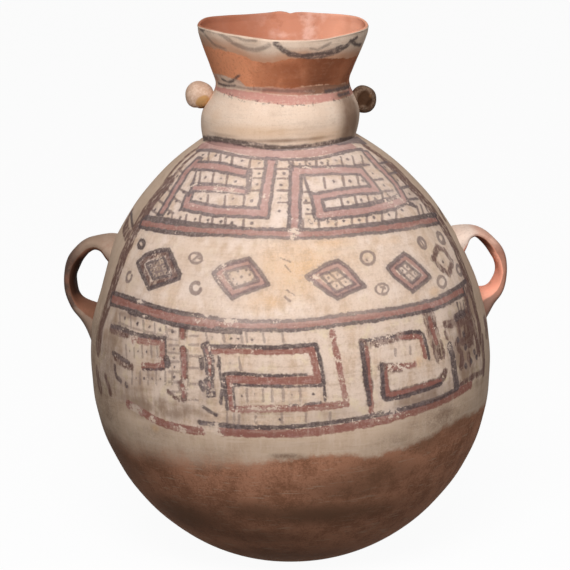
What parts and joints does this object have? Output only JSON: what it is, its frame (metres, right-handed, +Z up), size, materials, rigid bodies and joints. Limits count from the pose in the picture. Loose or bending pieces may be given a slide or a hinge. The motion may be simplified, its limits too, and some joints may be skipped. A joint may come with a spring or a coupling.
{
  "type": "two-handled painted jar",
  "caption": "Round-bottomed ceramic jar with a collared flaring neck, strap handles, small lugs and painted fret and diamond bands, for storing and carrying liquid.",
  "frame": {"origin": "centre of the standing flat at the bottom of the jar", "axes": "+Z up along the jar's axis, -Y towards the painted front, +X towards the right handle seen from the front"},
  "size_m": [0.38, 0.3366, 0.45],
  "materials": {
    "red_slip": "matt red-brown slip, wiped and fire-darkened",
    "painted_slip": "matt cream slip painted in black and red, worn",
    "cream_slip": "matt cream slip with wiping streaks",
    "neck_slip": "matt terracotta with cream and black painting",
    "handle_slip": "matt buff slip, rubbed to the red clay"
  },
  "bodies": {
    "root": {"base_bowl": "red_slip", "lower_belly_course": "painted_slip", "belly_course": "painted_slip", "shoulder_course": "painted_slip", "collar": "cream_slip", "neck_funnel": "neck_slip", "rim_coil": "neck_slip", "left_handle": "handle_slip", "right_handle": "handle_slip", "left_upper_wad": "handle_slip", "left_lower_wad": "handle_slip", "right_upper_wad": "handle_slip", "right_lower_wad": "handle_slip", "left_lug": "cream_slip", "right_lug": "cream_slip"}
  },
  "joints": []
}
